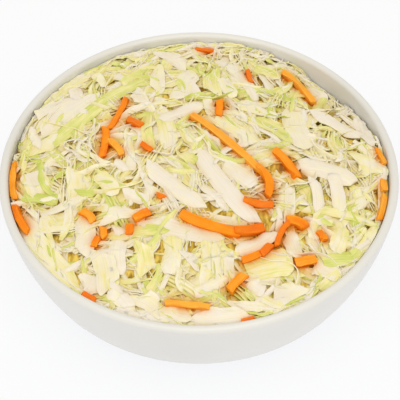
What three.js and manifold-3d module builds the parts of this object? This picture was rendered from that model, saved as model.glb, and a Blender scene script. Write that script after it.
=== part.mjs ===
// A round white bowl heaped with coleslaw: shredded cabbage and sticks of carrot.
// Millimetres, +Z up. The bowl's foot stands on z = 0 and the viewer is on the -Y side.
import * as THREE from 'three';
import { mergeVertices } from 'three/addons/utils/BufferGeometryUtils.js';
import Module from 'manifold-3d';

// Bowl: a lip, a gently bowed side, a tight turn under it, a flat base and a foot ring
const RIM_RADIUS = 100;
const BOWL_HEIGHT = 60;
const WALL = 4.4;
const LIP_RADIUS = WALL / 2;
const SIDE_ARC = 130;
const TURN_ARC = 22;
const LEAN_AT_RIM = THREE.MathUtils.degToRad(4.7);
const LEAN_AT_TURN = THREE.MathUtils.degToRad(22.6);
const LEAN_UNDER = THREE.MathUtils.degToRad(90);
const FOOT_RADIUS = 58;
const FOOT_WIDTH = 4;
const FOOT_TAPER = 1.2;
const BOWL_SIDES = 56;

// Heap: a low dome, fuller in front and sunk below the rim at the back right
const DISH_GAP = 0.35;
const HEAP_RADIUS = 95;
const HEAP_TOP = 69;
const HEAP_FULLNESS = 2.2;
const EDGE_DROP_FRONT = 2;
const EDGE_DROP_BACK = 1.8;
const HOLLOW_DROP = 9.5;
const HOLLOW_ANGLE = THREE.MathUtils.degToRad(38);
const HOLLOW_SPREAD = THREE.MathUtils.degToRad(18);
const CORE_DEPTH = 2.6;
const CORE_LUMP = 0.5;
const CORE_SIDES = 28;
const CORE_RINGS = 5;
const CORE_OUTER_SHARE = 0.86;
const CORE_INNER_SHARE = 0.16;
const CORE_GAP = 0.7;

// Shreds
const SHRED_COUNT = 46;
const STICK_COUNT = 6;
const TRIES = 14;
const STATIONS = 4;
const END_TAPER = 0.55;
const STIFFNESS = 0.32;
const SINK = 0.35;
const SUPPORT_SHARE = 0.35;
const MOST_PROUD = 1.2;
const WALL_ROOM = 2;
const RELIEF_CELL = 1.5;
const CABBAGE = { length: [24, 44], width: [3.6, 7.2], thickness: [1.5, 2.2], bow: 6, roll: 24 };
const CARROT = { length: [14, 34], width: [3.2, 4.4], thickness: [2.8, 3.4], bow: 2.5, roll: 12 };

// The pieces that stand out: ends in plan, sideways bow, width and thickness
const SEEN_CABBAGE = [
  { from: [-11, 46], to: [-3, 66], bow: 1, width: 9, thickness: 1.6 },
  { from: [-80, 29], to: [-62, 47], bow: 2, width: 13, thickness: 1.6 },
  { from: [80, 2], to: [91, -3], bow: 0, width: 11, thickness: 1.8 },
  { from: [50, -3], to: [74, -12], bow: 2, width: 9, thickness: 2.4 },
  { from: [58, -8], to: [60, -29], bow: 1, width: 5.5, thickness: 2.2 },
  { from: [65, -9], to: [68, -30], bow: 1, width: 5.5, thickness: 2.2 },
  { from: [-25, -41], to: [9, -47], bow: -2, width: 7, thickness: 2 },
  { from: [-84, -40], to: [-60, -72], bow: -4, width: 8, thickness: 1.8 },
  { from: [-2, -88], to: [20, -89], bow: -2, width: 7, thickness: 2.2 },
  { from: [-73, 16], to: [-28, 58], bow: 3, width: 5, thickness: 1.6 },
  { from: [51, -30], to: [84, -36], bow: 1, width: 4, thickness: 1.6 },
  { from: [61, 38], to: [81, 25], bow: 1, width: 6.5, thickness: 2 },
  { from: [-22, -11], to: [-1, -32], bow: 0, width: 6.5, thickness: 2.4 },
  { from: [-19, 26], to: [1, 38], bow: 1, width: 5.5, thickness: 2 },
  { from: [0, 1], to: [25, -38], bow: -1, width: 7, thickness: 2.6 },
  { from: [20, -55], to: [34, -48], bow: -2, width: 6, thickness: 2.2 },
];
const SEEN_CARROT = [
  { from: [-4, 31], to: [33, -25], bow: 6, width: 4, thickness: 3 },
  { from: [-9, -35], to: [21, -45], bow: -1, width: 6, thickness: 3 },
  { from: [4, -40], to: [30, -44], bow: -2, width: 5, thickness: 2.6 },
  { from: [20, -61], to: [34, -52], bow: -2, width: 3.6, thickness: 3 },
  { from: [14, -77], to: [22, -67], bow: 1, width: 4.6, thickness: 3.2 },
  { from: [37, 7], to: [49, -12], bow: 1, width: 4.6, thickness: 3.4 },
  { from: [46, 77], to: [60, 49], bow: 1, width: 3.8, thickness: 3 },
  { from: [-91, 9], to: [-88, -18], bow: -2, width: 4, thickness: 3.2 },
  { from: [-87, -24], to: [-79, -40], bow: -1, width: 4, thickness: 3 },
  { from: [90, -2], to: [87, -33], bow: 2, width: 4, thickness: 3.2 },
  { from: [-39, 48], to: [-47, 22], bow: 1, width: 4.2, thickness: 3.2 },
  { from: [-46, 24], to: [-48, 5], bow: 1, width: 4.6, thickness: 3.2 },
  { from: [-45, 14], to: [-37, 3], bow: 1, width: 4, thickness: 3 },
  { from: [-57, -32], to: [-50, -38], bow: 1, width: 5, thickness: 3.2 },
  { from: [-46, -41], to: [-50, -50], bow: 1, width: 4, thickness: 3.2 },
  { from: [42, -38], to: [51, -42], bow: 1, width: 6, thickness: 3.4 },
  { from: [22, -27], to: [37, -29], bow: -1, width: 3.8, thickness: 3 },
  { from: [-16, -83], to: [5, -85], bow: 1, width: 3.6, thickness: 3 },
  { from: [46, -60], to: [56, -58], bow: 0, width: 4.6, thickness: 3 },
];

const COLOURS = { bowl: 0xf1efea, slaw: 0xebe6b8 };
const ROUGHNESS = { bowl: 0.15, slaw: 0.55 };
const SEED = 4127;

const sideCentre = {
  r: RIM_RADIUS - LIP_RADIUS - (SIDE_ARC - LIP_RADIUS) * Math.cos(LEAN_AT_RIM),
  z: BOWL_HEIGHT - LIP_RADIUS + (SIDE_ARC - LIP_RADIUS) * Math.sin(LEAN_AT_RIM),
};
const turnCentre = {
  r: sideCentre.r + (SIDE_ARC - TURN_ARC) * Math.cos(LEAN_AT_TURN),
  z: sideCentre.z - (SIDE_ARC - TURN_ARC) * Math.sin(LEAN_AT_TURN),
};

// A point on the wall, so far in from its outer face, where the face leans so much
function wallPoint(inset, lean) {
  const onSide = lean <= LEAN_AT_TURN;
  const centre = onSide ? sideCentre : turnCentre;
  const radius = (onSide ? SIDE_ARC : TURN_ARC) - inset;
  return new THREE.Vector2(centre.r + radius * Math.cos(lean), centre.z - radius * Math.sin(lean));
}

// How much the inner face leans at a height, for heights above the floor
function leanAt(z, inset) {
  const side = Math.asin((sideCentre.z - z) / (SIDE_ARC - inset));
  if (side <= LEAN_AT_TURN) return Math.max(side, LEAN_AT_RIM);
  return Math.asin(Math.min(1, (turnCentre.z - z) / (TURN_ARC - inset)));
}

function innerRadius(z) {
  const inset = WALL + DISH_GAP;
  return wallPoint(inset, leanAt(z, inset)).x;
}

function steps(from, to, count) {
  return Array.from({ length: count + 1 }, (_, i) => from + ((to - from) * i) / count);
}

function seededRandom(seed) {
  let state = seed;
  return () => {
    state = (state + 0x6d2b79f5) | 0;
    let mixed = Math.imul(state ^ (state >>> 15), 1 | state);
    mixed = (mixed + Math.imul(mixed ^ (mixed >>> 7), 61 | mixed)) ^ mixed;
    return ((mixed ^ (mixed >>> 14)) >>> 0) / 4294967296;
  };
}

function buildBowl() {
  const under = turnCentre.z - TURN_ARC;
  const profile = [
    new THREE.Vector2(0, under),
    new THREE.Vector2(FOOT_RADIUS - FOOT_WIDTH / 2 - FOOT_TAPER, under),
    new THREE.Vector2(FOOT_RADIUS - FOOT_WIDTH / 2, 0),
    new THREE.Vector2(FOOT_RADIUS + FOOT_WIDTH / 2, 0),
    new THREE.Vector2(FOOT_RADIUS + FOOT_WIDTH / 2 + FOOT_TAPER, under),
  ];
  for (const lean of steps(LEAN_UNDER, LEAN_AT_TURN, 5)) profile.push(wallPoint(0, lean));
  for (const lean of steps(LEAN_AT_TURN, LEAN_AT_RIM, 3).slice(1)) profile.push(wallPoint(0, lean));
  const lip = wallPoint(LIP_RADIUS, LEAN_AT_RIM);
  for (const turn of steps(-LEAN_AT_RIM, Math.PI - LEAN_AT_RIM, 4).slice(1, -1)) {
    profile.push(new THREE.Vector2(
      lip.x + LIP_RADIUS * Math.cos(turn),
      lip.y + LIP_RADIUS * Math.sin(turn),
    ));
  }
  for (const lean of steps(LEAN_AT_RIM, LEAN_AT_TURN, 3)) profile.push(wallPoint(WALL, lean));
  for (const lean of steps(LEAN_AT_TURN, LEAN_UNDER, 4).slice(1)) profile.push(wallPoint(WALL, lean));
  profile.push(new THREE.Vector2(0, under + WALL));
  const geometry = new THREE.LatheGeometry(profile, BOWL_SIDES);
  return geometry.rotateX(Math.PI / 2);
}

// The level of the heap's surface over a point in plan
function heapLevel(x, y) {
  const angle = Math.atan2(y, x);
  const back = Math.max(0, Math.sin(angle)) ** 2;
  const hollow = Math.exp(-(((angle - HOLLOW_ANGLE) / HOLLOW_SPREAD) ** 2));
  const drop = EDGE_DROP_FRONT + EDGE_DROP_BACK * back + HOLLOW_DROP * hollow;
  const reach = Math.min(1, Math.hypot(x, y) / HEAP_RADIUS);
  const rise = (HEAP_TOP - BOWL_HEIGHT + drop) * (1 - reach ** HEAP_FULLNESS);
  return BOWL_HEIGHT - drop + rise;
}

function coreLevel(x, y) {
  const lump = Math.sin(x * 0.21 + 1.3) * Math.sin(y * 0.24) + Math.sin((x - y) * 0.13);
  return heapLevel(x, y) - CORE_DEPTH + CORE_LUMP * lump;
}

// A closed solid from a list of rings, with a single point at the first and last
function solidFromRings(wasm, first, rings, last) {
  const sides = rings[0].length;
  const vertices = [first, ...rings.flat(), last];
  const end = vertices.length - 1;
  const faces = [];
  const at = (ring, side) => 1 + ring * sides + (side % sides);
  for (let side = 0; side < sides; side += 1) {
    faces.push(0, at(0, side + 1), at(0, side));
    for (let ring = 0; ring + 1 < rings.length; ring += 1) {
      faces.push(at(ring, side), at(ring, side + 1), at(ring + 1, side));
      faces.push(at(ring, side + 1), at(ring + 1, side + 1), at(ring + 1, side));
    }
    faces.push(end, at(rings.length - 1, side), at(rings.length - 1, side + 1));
  }
  return new wasm.Manifold(new wasm.Mesh({
    numProp: 3,
    vertProperties: new Float32Array(vertices.flat()),
    triVerts: new Uint32Array(faces),
  }));
}

function ringOf(sides, pointAt) {
  return Array.from({ length: sides }, (_, i) => pointAt((i / sides) * 2 * Math.PI));
}

// Everything inside the dish: the limit that no shred may cross
function buildDishSpace(wasm) {
  const inset = WALL + DISH_GAP;
  const outline = [
    ...steps(LEAN_UNDER, LEAN_AT_TURN, 4),
    ...steps(LEAN_AT_TURN, LEAN_AT_RIM, 3).slice(1),
  ].map((lean) => wallPoint(inset, lean));
  const mouth = outline.at(-1);
  outline.push(new THREE.Vector2(mouth.x, BOWL_HEIGHT * 2));
  const rings = outline.map(({ x: r, y: z }) => (
    ringOf(BOWL_SIDES, (angle) => [r * Math.cos(angle), r * Math.sin(angle), z])
  ));
  const floor = outline[0].y;
  return solidFromRings(wasm, [0, 0, floor], rings, [0, 0, BOWL_HEIGHT * 2]);
}

// The packed salad below the loose shreds
function buildCore(wasm) {
  const inset = WALL + CORE_GAP;
  const edgeRing = (share) => ringOf(CORE_SIDES, (angle) => {
    const x = HEAP_RADIUS * Math.cos(angle);
    const y = HEAP_RADIUS * Math.sin(angle);
    const topLean = leanAt(coreLevel(x, y), inset);
    const point = wallPoint(inset, LEAN_UNDER + (topLean - LEAN_UNDER) * share);
    return [point.x * Math.cos(angle), point.x * Math.sin(angle), point.y];
  });
  const topRing = (share) => ringOf(CORE_SIDES, (angle) => {
    const x = HEAP_RADIUS * share * Math.cos(angle);
    const y = HEAP_RADIUS * share * Math.sin(angle);
    return [x, y, coreLevel(x, y)];
  });
  const rings = [
    ...steps(0, 1, CORE_RINGS).map(edgeRing),
    ...steps(CORE_OUTER_SHARE, CORE_INNER_SHARE, CORE_RINGS).map(topRing),
  ];
  const floor = rings[0][0][2];
  return solidFromRings(wasm, [0, 0, floor], rings, [0, 0, coreLevel(0, 0)]);
}

// How high the heap stands over each cell of a square grid in plan
class Relief {
  constructor(level) {
    this.reach = Math.ceil(RIM_RADIUS / RELIEF_CELL);
    this.side = 2 * this.reach + 1;
    this.heights = new Float32Array(this.side ** 2);
    for (let row = 0; row < this.side; row += 1) {
      for (let column = 0; column < this.side; column += 1) {
        const x = (column - this.reach) * RELIEF_CELL;
        const y = (row - this.reach) * RELIEF_CELL;
        this.heights[row * this.side + column] = level(x, y);
      }
    }
  }

  index(x, y) {
    const column = Math.round(x / RELIEF_CELL) + this.reach;
    const row = Math.round(y / RELIEF_CELL) + this.reach;
    const inside = (value) => Math.min(this.side - 1, Math.max(0, value));
    return inside(row) * this.side + inside(column);
  }

  at(x, y) {
    return this.heights[this.index(x, y)];
  }

  raise(x, y, z) {
    const cell = this.index(x, y);
    this.heights[cell] = Math.max(this.heights[cell], z);
  }
}

// The middle line of a shred in plan, kept clear of the dish's wall
function planLine(shred) {
  const from = new THREE.Vector2(...shred.from);
  const along = new THREE.Vector2(...shred.to).sub(from);
  const left = new THREE.Vector2(-along.y, along.x).normalize();
  return steps(0, 1, STATIONS).map((share) => {
    const point = from.clone().addScaledVector(along, share);
    point.addScaledVector(left, shred.bow * 4 * share * (1 - share));
    const outward = point.clone().normalize();
    const across = Math.abs(outward.dot(left)) * shred.width / 2;
    const limit = innerRadius(heapLevel(point.x, point.y) - WALL_ROOM) - across - DISH_GAP;
    return point.clampLength(0, limit);
  });
}

// The shred laid on what is below it, bending no more than it can
function layDown(shred, relief) {
  const line = planLine(shred);
  const left = new THREE.Vector2(line[0].y - line.at(-1).y, line.at(-1).x - line[0].x).normalize();
  const support = line.map((point) => {
    const heights = [-SUPPORT_SHARE, 0, SUPPORT_SHARE].map((share) => (
      relief.at(point.x + left.x * share * shred.width, point.y + left.y * share * shred.width)
    ));
    return heights.reduce((sum, height) => sum + height, 0) / heights.length;
  });
  return line.map((point, i) => {
    const held = line.map((other, j) => support[j] - STIFFNESS * point.distanceTo(other));
    const z = Math.max(...held) + shred.thickness * (0.5 - SINK);
    return new THREE.Vector3(point.x, point.y, z);
  });
}

function raiseRelief(shred, path, relief) {
  for (let i = 0; i + 1 < path.length; i += 1) {
    const along = path[i + 1].clone().sub(path[i]);
    const left = new THREE.Vector3(-along.y, along.x, 0).normalize();
    for (const share of steps(0, 1, 5)) {
      for (const side of steps(-0.5, 0.5, 6)) {
        const point = path[i].clone().addScaledVector(along, share);
        point.addScaledVector(left, side * shred.width);
        relief.raise(point.x, point.y, point.z + shred.thickness / 2);
      }
    }
  }
}

// The height still missing under a shred, and how far it would stand out of the dome
function roomFor(path, shred) {
  const gaps = path.map((point) => heapLevel(point.x, point.y) - point.z - shred.thickness / 2);
  return { mean: gaps.reduce((sum, gap) => sum + gap, 0) / gaps.length, least: Math.min(...gaps) };
}

function randomShred(kind, random) {
  const pick = ([low, high]) => low + (high - low) * random();
  const radius = HEAP_RADIUS * Math.sqrt(random());
  const place = random() * 2 * Math.PI;
  const heading = random() * 2 * Math.PI;
  const half = pick(kind.length) / 2;
  const centre = [radius * Math.cos(place), radius * Math.sin(place)];
  const offset = [half * Math.cos(heading), half * Math.sin(heading)];
  return {
    from: [centre[0] - offset[0], centre[1] - offset[1]],
    to: [centre[0] + offset[0], centre[1] + offset[1]],
    bow: kind.bow * (2 * random() - 1),
    width: pick(kind.width),
    thickness: pick(kind.thickness),
    roll: THREE.MathUtils.degToRad(kind.roll * (2 * random() - 1)),
  };
}

function buildShred(wasm, shred, path) {
  const sections = path.map((point, i) => {
    const before = path[Math.max(0, i - 1)];
    const after = path[Math.min(path.length - 1, i + 1)];
    const along = after.clone().sub(before).normalize();
    const side = new THREE.Vector3(-along.y, along.x, 0).normalize();
    side.applyAxisAngle(along, shred.roll ?? 0);
    const up = along.clone().cross(side);
    const taper = i === 0 || i === path.length - 1 ? END_TAPER : 1;
    const corners = [[-1, -1], [1, -1], [1, 1], [-1, 1]];
    return corners.map(([across, high]) => point.clone()
      .addScaledVector(side, across * taper * shred.width / 2)
      .addScaledVector(up, high * shred.thickness / 2)
      .toArray());
  });
  const tip = (section) => [0, 1, 2].map((axis) => (section[0][axis] + section[2][axis]) / 2);
  return solidFromRings(wasm, tip(sections[0]), sections, tip(sections.at(-1)));
}

function largestPiece(solid) {
  return solid.decompose().reduce((best, piece) => (piece.volume() > best.volume() ? piece : best));
}

function buildSlaw(wasm) {
  const random = seededRandom(SEED);
  const relief = new Relief(coreLevel);
  const kinds = [
    ...Array(SHRED_COUNT).fill(CABBAGE),
    ...Array(STICK_COUNT).fill(CARROT),
  ];
  let solid = buildCore(wasm);
  const place = (shred) => {
    const path = layDown(shred, relief);
    raiseRelief(shred, path, relief);
    solid = solid.add(buildShred(wasm, shred, path));
  };
  for (const kind of kinds) {
    const choices = Array.from({ length: TRIES }, () => {
      const shred = randomShred(kind, random);
      return { shred, room: roomFor(layDown(shred, relief), shred) };
    });
    const fitting = choices.filter(({ room }) => room.least > -MOST_PROUD);
    fitting.sort((a, b) => b.room.mean - a.room.mean);
    if (fitting.length > 0) place(fitting[0].shred);
  }
  for (const shred of [...SEEN_CABBAGE, ...SEEN_CARROT]) place(shred);
  return largestPiece(solid.intersect(buildDishSpace(wasm)));
}

function toGeometry(solid) {
  const { vertProperties, triVerts } = solid.getMesh();
  const geometry = new THREE.BufferGeometry();
  geometry.setAttribute('position', new THREE.BufferAttribute(vertProperties, 3));
  geometry.setIndex(new THREE.BufferAttribute(triVerts, 1));
  return mergeVertices(geometry);
}

function finish(name, geometry) {
  const shaded = geometry.toNonIndexed();
  shaded.computeVertexNormals();
  const material = new THREE.MeshStandardMaterial({
    color: COLOURS[name],
    roughness: ROUGHNESS[name],
    metalness: 0,
  });
  const mesh = new THREE.Mesh(shaded, material);
  mesh.name = name;
  return mesh;
}

const wasm = await Module();
wasm.setup();
const coleslaw = new THREE.Group();
coleslaw.name = 'coleslaw';
coleslaw.add(finish('bowl', buildBowl()));
coleslaw.add(finish('slaw', toGeometry(buildSlaw(wasm))));
export default coleslaw;
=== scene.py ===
"""A white bowl heaped with coleslaw: every shred is laid on the ones below it."""

import math

import bpy
import numpy as np
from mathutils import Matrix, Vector


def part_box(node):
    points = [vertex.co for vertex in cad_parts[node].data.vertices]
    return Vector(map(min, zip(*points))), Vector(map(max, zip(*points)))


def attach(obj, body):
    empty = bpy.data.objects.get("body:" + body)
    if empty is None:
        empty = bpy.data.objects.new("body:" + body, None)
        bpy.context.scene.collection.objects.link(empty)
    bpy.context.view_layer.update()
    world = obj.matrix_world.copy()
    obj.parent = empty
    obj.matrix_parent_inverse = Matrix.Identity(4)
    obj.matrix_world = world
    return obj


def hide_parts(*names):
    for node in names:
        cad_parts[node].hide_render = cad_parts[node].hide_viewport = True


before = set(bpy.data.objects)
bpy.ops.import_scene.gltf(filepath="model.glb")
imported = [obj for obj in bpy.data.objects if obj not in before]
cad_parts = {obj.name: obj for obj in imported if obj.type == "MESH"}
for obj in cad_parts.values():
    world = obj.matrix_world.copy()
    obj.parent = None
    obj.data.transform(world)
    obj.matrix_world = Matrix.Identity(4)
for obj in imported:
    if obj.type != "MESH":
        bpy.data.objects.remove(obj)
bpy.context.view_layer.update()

MM = 0.001
SEED = 731
rng = np.random.default_rng(SEED)

# Bowl, in millimetres: its width and height come from the frame
RIM_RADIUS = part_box("bowl")[1].x / MM
BOWL_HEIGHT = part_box("bowl")[1].z / MM
WALL = 4.4
LIP_RADIUS = WALL / 2
SIDE_ARC = 130.0
TURN_ARC = 22.0
LEAN_AT_RIM = math.radians(4.7)
LEAN_AT_TURN = math.radians(22.6)
LEAN_UNDER = math.radians(90)
FOOT_RADIUS = 58.0
FOOT_WIDTH = 4.0
FOOT_TAPER = 1.2
FOOT_EDGE_WIDTH = 0.3
FOOT_EDGE_HEIGHT = 0.4
BOWL_SIDES = 192
SIDE_STEPS = 10
TURN_STEPS = 14
INNER_TURN_STEPS = 12
LIP_STEPS = 16

SIDE_CENTRE = np.array([
    RIM_RADIUS - LIP_RADIUS - (SIDE_ARC - LIP_RADIUS) * math.cos(LEAN_AT_RIM),
    BOWL_HEIGHT - LIP_RADIUS + (SIDE_ARC - LIP_RADIUS) * math.sin(LEAN_AT_RIM),
])
TURN_CENTRE = SIDE_CENTRE + (SIDE_ARC - TURN_ARC) * np.array([
    math.cos(LEAN_AT_TURN), -math.sin(LEAN_AT_TURN),
])

# Heap, in millimetres: the same dome as the solid's
HEAP_RADIUS = 95.0
HEAP_TOP = 69.0
HEAP_FULLNESS = 2.2
EDGE_DROP_FRONT = 2.0
EDGE_DROP_BACK = 1.8
HOLLOW_DROP = 9.5
HOLLOW_ANGLE = math.radians(38)
HOLLOW_SPREAD = math.radians(18)
DISH_GAP = 0.35
CELL = 0.5

# Packed core under the shreds: how deep it lies, its faces and the lumps on it
CORE_DEPTH = 4.5
CORE_SIDES = 180
CORE_WALL_ROWS = 12
CORE_TOP_ROWS = 46
CORE_OUTER_SHARE = 0.97
CORE_INNER_SHARE = 0.03
CORE_LUMP = 0.8
LUMP_WAVE_X = (0.7, 2, 0.3)
LUMP_WAVE_Y = (0.8, 2, 0.27)

# Photograph: where it was taken from, in millimetres and degrees
AIM = (0.5, 0.0, 32.2)
CAMERA_DISTANCE = 600.0
CAMERA_ELEVATION = math.radians(49.95)
LENS = 103.8

# Stage, in metres and watts: a white ground, one soft light and an even surround
FLOOR_REACH = 3.0
FLOOR_BASE = (0.2, 0.2, 0.2, 1)
FLOOR_GLOW = (0.965, 0.975, 1, 1)
FLOOR_GLOW_STRENGTH = 0.77
SURROUND = (1, 0.955, 0.83, 1)
SURROUND_STRENGTH = 0.82
KEY_PLACE = (0.0, -0.6, 1.3)
KEY_SIZE = 1.5
KEY_POWER = 8.2
KEY_COLOUR = (0.98, 0.99, 1.0)

# Kinds of shred, in millimetres and radians: bow and wave bend the line in plan, roll, lean and
# twist turn it about its length, arch and flick raise its middle and end, stiff is the steepest
# it bends, high how far it rests on the highest thing under it, drape how far it sags. dome, curl
# and ruffle shape its section, ragged its edges, and taper, tip and slant its ends. order is
# when it is laid, from 0 to 1, and ring the points round its section.
PLAIN = dict(
    strands=1, stiff=0.35, high=0.25, drape=0.5, curl=0.12, lean=0.0, twist=0.8, ragged=0.08,
    taper=(0.04, 0.5), tip=(0.1, 0.9), slant=0.9, dome=0.35, ruffle=0.3, ring=6,
)
KINDS = {
    "strips": PLAIN | dict(
        order=(0.1, 1.0), length=(15, 42), width=(1.4, 4.2), thick=(0.5, 0.8), tone=(0.0, 0.7),
        bow=2.1, wave=0.6, roll=0.55, arch=1.0, flick=1.3,
    ),
    "bundles": PLAIN | dict(
        order=(0.2, 1.0), length=(14, 32), width=(1.3, 2.8), thick=(0.45, 0.7), tone=(0.05, 0.6),
        bow=1.5, wave=0.3, roll=0.25, arch=0.5, flick=0.4, strands=4, drape=0.3, curl=0.1, lean=0.8,
        twist=0.4, taper=(0.04, 0.4), tip=(0.2, 0.8), slant=0.3, dome=0.4, ruffle=0.2,
    ),
    "threads": PLAIN | dict(
        order=(0.3, 1.0), length=(12, 34), width=(0.9, 1.6), thick=(0.5, 0.8), tone=(-0.1, 0.5),
        bow=1.7, wave=0.6, roll=0.6, arch=1.2, flick=1.4, stiff=0.6, high=0.3, drape=0.0, curl=0.0,
        taper=(0.02, 0.3), tip=(0.2, 0.8), slant=0.2, dome=0.5, ruffle=0.0,
    ),
    "greens": PLAIN | dict(
        order=(0.1, 1.0), length=(14, 40), width=(1.4, 5.0), thick=(0.4, 0.6), tone=(0.6, 0.88),
        bow=1.4, wave=0.4, roll=0.35, arch=0.9, flick=1.2, twist=0.7,
    ),
    "leaves": PLAIN | dict(
        order=(0.0, 0.7), length=(16, 34), width=(4, 8.5), thick=(0.4, 0.6), tone=(0.0, 0.6),
        bow=1.2, wave=0.25, roll=0.2, arch=0.8, flick=0.8, stiff=0.25, drape=0.6, curl=0.06,
        twist=0.4, ragged=0.1, taper=(0.08, 0.5), tip=(0.15, 0.7), dome=0.5, ruffle=0.5, ring=12,
    ),
    "ribs": PLAIN | dict(
        order=(0.0, 0.85), length=(14, 34), width=(2.4, 5.5), thick=(1.1, 2.0), tone=(-0.1, 0.2),
        bow=1.0, wave=0.2, roll=0.2, arch=0.3, flick=0.5, stiff=0.15, high=0.65, drape=0.1,
        curl=0.06, twist=0.3, ragged=0.05, taper=(0.05, 0.5), tip=(0.25, 0.9), slant=0.8,
        dome=0.75, ruffle=0.1, ring=10,
    ),
    "carrots": PLAIN | dict(
        width=(2.2, 3.4), thick=(1.6, 2.4), tone=(0.1, 0.9), roll=0.12, arch=0.0, flick=0.0,
        stiff=0.05, high=0.75, drape=0.0, curl=0.0, twist=0.15, ragged=0.03, slant=0.4, dome=0.06,
        ruffle=0.0, ring=8,
    ),
}

# Shreds laid at random: all through the heap, along the dish's wall, and over those seen
LOOSE_KINDS = {"strips": 600, "bundles": 80, "threads": 150, "greens": 110, "leaves": 200, "ribs": 80}
WALL_KINDS = {"leaves": 14, "ribs": 14, "strips": 130, "greens": 20}
OVER_KINDS = {"strips": 120, "bundles": 12, "threads": 60}
WALL_SHRINK = 0.75
OVER_SHRINK = 0.7

# Room that a random shred has to find under the heap's level, and how a place is chosen
LOOSE_LEAST = 0.2
WALL_LEAST = 0.8
OVER_LEAST = -1.8
TRIES = 12
LOWEST_WEIGHT = 0.5
HIDE_WEIGHT = 20
HIDE_MOST = 0.03
PIT_WEIGHT = 60
PIT_COVER = 0.012
OVER_MARGIN = 2.0
KEPT_CLEAR = {"carrots": 1.0, "ribs": 1.0, "greens": 0.3, "leaves": 0.3, "strips": 0.15}

# Lines in plan: how most shreds run together, and the strands of a bundle side by side
STATIONS = 18
GRAIN_WAVE_X = (0.06, 1.3, 0.035)
GRAIN_WAVE_Y = (0.05, -0.9, 0.04)
GRAIN_SWING = 1.6
GRAIN_HEADING = 0.4
GRAIN_TURN = 0.7
WAVE_TURNS = 1.3
WALL_BAND = 0.1
WALL_TURN = 0.4
STRAND_GAP = 1.6
STRAND_FAN = 0.6
STRAND_ROLL = 0.15
STRAND_TONE = 0.08

# A shred's form: uneven edges, thinner tips, and the levels that its arch and curl turn about
RIPPLE_WAVES = 6
RIPPLE_FADE = 0.8
RIPPLE_PITCH = 0.8
NARROWEST = 0.25
SWELL_POWER = 0.8
TIP_THICKNESS = 0.35
ARCH_LEVEL = 0.67
CURL_LEVEL = 0.3

# How a shred lies on the heap
CLEARANCE = 0.3
WALL_SHARE = 0.45
LEAN_REACH = 0.42
LEAN_POINTS = 5
LEAN_MOST = 0.6
SETTLE_SINK = 0.5
PROUD = 1.7
PROUD_SHARE = 0.25
MARK_ALONG = 4
MARK_ACROSS = 3
COVER_ALONG = 6

# Tones: towards a shred's edges, from end to end, and over patches of the heap
EDGE_TONE = 0.16
DRIFT_TONE = 0.22
PATCH_TONE = 0.12
PATCH_PITCH = (0.045, 0.052)
PATCH_START = (1.1, -0.6)
GRAIN_PLACES = 100

# Painted shade down the gaps and close under neighbours, and a juice stain beside the carrots
SHADE_REACH = 6
SHADE_START = -0.4
SHADE_RANGE = 3.3
NEAR_START = 0.25
NEAR_RANGE = 1.6
NEAR_SHARE = 0.3
JUICE_MARGIN = 4.0
JUICE_SPREAD = (2, 4)
JUICE_LIGHT = 0.3
# How much more the juice stain grows where the painted shade is: painted warm shade beside the carrots
JUICE_IN_PAINTED_SHADE = 1.2
VEIN_START = 0.55
VEIN_SHADE = 2.0
VEIN_MOST = 0.12

# Crisp edges
CRISP = math.radians(40)
CRISP_KINDS = ("carrots", "ribs", "leaves", "greens", "strips")

# Colours from 0 to 255, matched to the photograph, with places along a tone or a texture
CABBAGE_STOPS = [
    (0.0, (236, 228, 217)), (0.3, (239, 233, 208)), (0.5, (239, 230, 172)),
    (0.7, (226, 225, 146)), (1.0, (204, 213, 108)),
]
CARROT_STOPS = [(0.0, (236, 120, 4)), (0.5, (250, 150, 8)), (1.0, (249, 178, 62))]
# The core's colours are cabbage in painted shade: dark yellow and brown for what is seen down the gaps
CORE_SHADE_STOPS = [(0.36, (150, 114, 18)), (0.5, (196, 159, 42)), (0.64, (232, 202, 92))]
GLAZE_STOPS = [(0.35, (219, 218, 217)), (0.65, (224, 223, 221))]
CORE_JUICE = (236, 164, 90)
# Each look's darker colour is painted shade, multiplied over a shred down the gaps and close under
# neighbours
LOOKS = {
    "cabbage": dict(stops=CABBAGE_STOPS, painted_shade=(232, 210, 118), juice=(251, 184, 96),
                    roughness=0.4, shine=0.5, blotch_tone=0.8),
    "carrot": dict(stops=CARROT_STOPS, painted_shade=(225, 150, 90), juice=None,
                   roughness=0.5, shine=0.25, blotch_tone=0.5),
}

# Textures of the shreds, in waves a millimetre along and across them
FIBRES = (0.07, 1.5, 1.0)
BLOTCHES = (0.14, 0.3, 1.0)
VEINS = (0.05, 2.2, 1.0)
FIBRE_TONE = 0.8

# Textures of the core, which is stretched, and the glaze, in waves a metre
CORE_STRETCH = (1.0, 0.35, 1.0)
CORE_PATCHES = 420.0
GLAZE_CLOUDS = 14.0
GLAZE_WAVES = 60.0

# Surfaces: the reach of the glow in millimetres, and each relief's strength and height
GLOW_SHARE = 0.5
GLOW_REACH = 0.35
FIBRE_RELIEF = (0.28, 0.3)
CORE_RELIEF = (0.4, 0.8)
GLAZE_RELIEF = (0.08, 0.3)


def wall_point(inset, lean):
    """Radius and height on the wall, so far in from its outer face, where the face leans so."""
    on_side = np.asarray(lean) <= LEAN_AT_TURN
    radius = np.where(on_side, SIDE_ARC, TURN_ARC) - inset
    centre_r = np.where(on_side, SIDE_CENTRE[0], TURN_CENTRE[0])
    centre_z = np.where(on_side, SIDE_CENTRE[1], TURN_CENTRE[1])
    return centre_r + radius * np.cos(lean), centre_z - radius * np.sin(lean)


def lean_at(z):
    """How much the dish's inner face leans at a height."""
    inset = WALL + DISH_GAP
    side = np.arcsin(np.clip((SIDE_CENTRE[1] - z) / (SIDE_ARC - inset), -1, 1))
    turn = np.arcsin(np.clip((TURN_CENTRE[1] - z) / (TURN_ARC - inset), 0, 1))
    return np.where(side <= LEAN_AT_TURN, np.maximum(side, LEAN_AT_RIM), turn)


def inner_radius(z):
    """How far out the salad can reach at a height."""
    return wall_point(WALL + DISH_GAP, lean_at(z))[0]


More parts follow.
